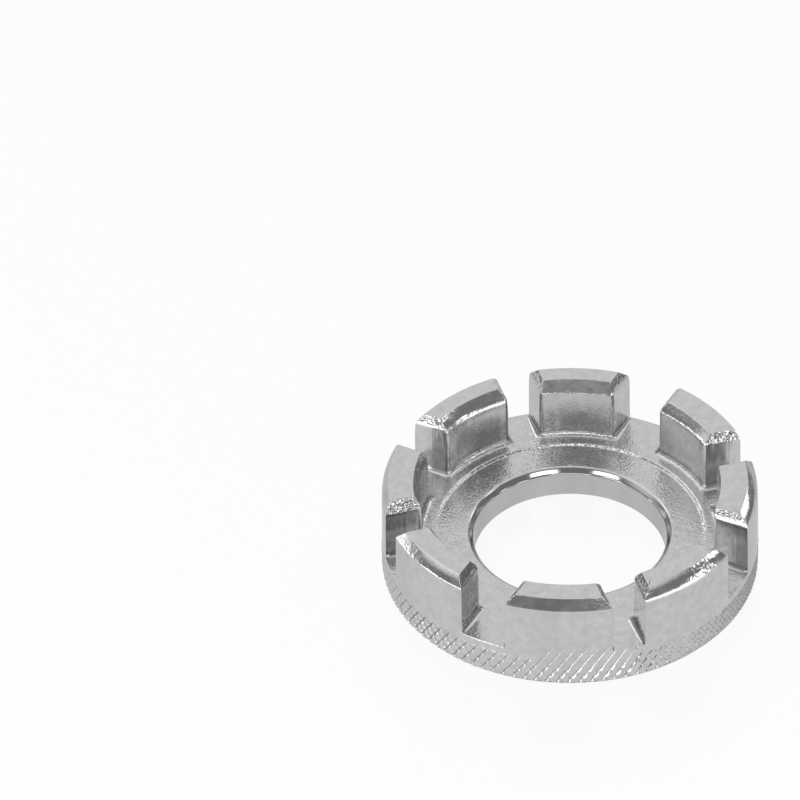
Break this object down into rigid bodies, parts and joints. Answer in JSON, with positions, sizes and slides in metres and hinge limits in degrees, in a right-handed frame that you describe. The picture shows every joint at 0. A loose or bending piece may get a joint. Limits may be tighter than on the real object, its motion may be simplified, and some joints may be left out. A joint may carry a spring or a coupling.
{
  "type": "spoke wrench",
  "caption": "Round pocket spoke wrench: a plated ring with a knurled rim and upright jaws whose gaps grip square spoke nipples of different gauges.",
  "frame": {"origin": "centre of the bore on the plane of the numbered face, which the wrench rests on", "axes": "+Z along the bore axis towards the jaws; +X through the gauge 12 slot and +Y through the gauge 10 slot"},
  "size_m": [0.036, 0.036, 0.0099],
  "materials": {
    "plate": "bright plated zinc casting: grainy as cast in the dish, lathe turned on the numbered face",
    "rim": "bright plated zinc casting with a rolled diamond knurl",
    "jaws": "bright plated zinc casting, satin walls and rough cast bevels"
  },
  "bodies": {
    "root": {"face_plate": "plate", "knurled_rim": "rim", "jaw_1": "jaws", "jaw_2": "jaws", "jaw_3": "jaws", "jaw_4": "jaws", "jaw_5": "jaws", "jaw_6": "jaws", "jaw_7": "jaws", "jaw_8": "jaws"}
  },
  "joints": []
}
